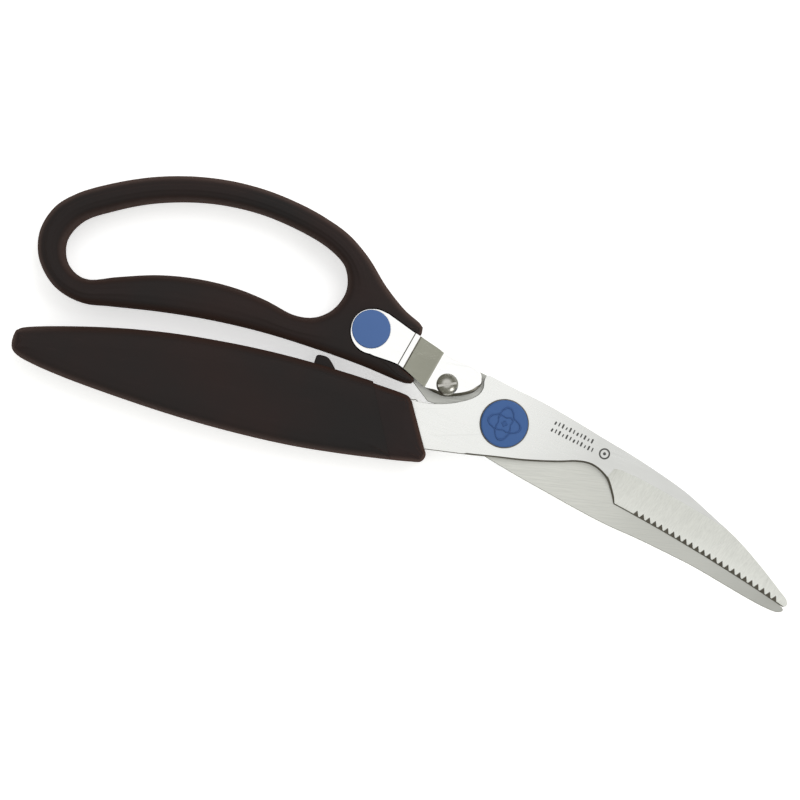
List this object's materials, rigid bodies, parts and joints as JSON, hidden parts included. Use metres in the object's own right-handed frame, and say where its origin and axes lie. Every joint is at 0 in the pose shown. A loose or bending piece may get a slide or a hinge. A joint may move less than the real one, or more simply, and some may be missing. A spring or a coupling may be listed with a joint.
{
  "type": "poultry shears",
  "caption": "Sprung poultry shears: a serrated blade with a bone notch in a straight grip, a plain blade in a closed finger loop, a covered pivot and a thumb lock.",
  "frame": {"origin": "on the blades' pivot axis, at the flat outer face of the pivot's back cap", "axes": "+X to the blade tips, +Y to the finger loop, +Z along the pivot axis to the side with the strap and its screw"},
  "size_m": [0.2563, 0.0754, 0.0171],
  "materials": {
    "dark_plastic": "fine satin grain, near black with a warm tint",
    "blue_plastic": "satin, moulded",
    "brushed_steel": "brushed stainless steel",
    "bright_steel": "polished stainless steel",
    "spring_steel": "plain spring steel"
  },
  "bodies": {
    "grip_body": {"front_blade": "brushed_steel", "grip_front_shell": "dark_plastic", "grip_back_shell": "dark_plastic", "grip_collar": "dark_plastic", "tang_pin_1": "bright_steel", "tang_pin_2": "bright_steel", "pivot_bolt": "bright_steel", "pivot_nut": "bright_steel", "pivot_cap_front": "blue_plastic", "pivot_cap_back": "blue_plastic", "pivot_spring": "spring_steel", "lock_detent_spring": "spring_steel"},
    "loop_body": {"back_blade": "brushed_steel", "loop_front_shell": "dark_plastic", "loop_back_shell": "dark_plastic", "strap": "bright_steel", "strap_screw": "bright_steel", "strap_spacer": "bright_steel", "loop_bolt": "bright_steel", "loop_cap_front": "blue_plastic", "loop_cap_back": "blue_plastic", "loop_tang_pin": "bright_steel"},
    "lock_body": {"lock_slider": "dark_plastic", "lock_bar": "spring_steel"}
  },
  "joints": [
    {"name": "blade_pivot", "type": "hinge", "parent": "grip_body", "child": "loop_body", "pos_m": [0, 0, 0.0052], "axis": [0, 0, -1], "range_deg": [-1, 38], "stiffness_Nm_per_rad": 1, "springref_deg": 49.85},
    {"name": "lock_slide", "type": "slide", "parent": "grip_body", "child": "lock_body", "axis": [1, 0, 0], "range_m": [0, 0.0045]}
  ]
}
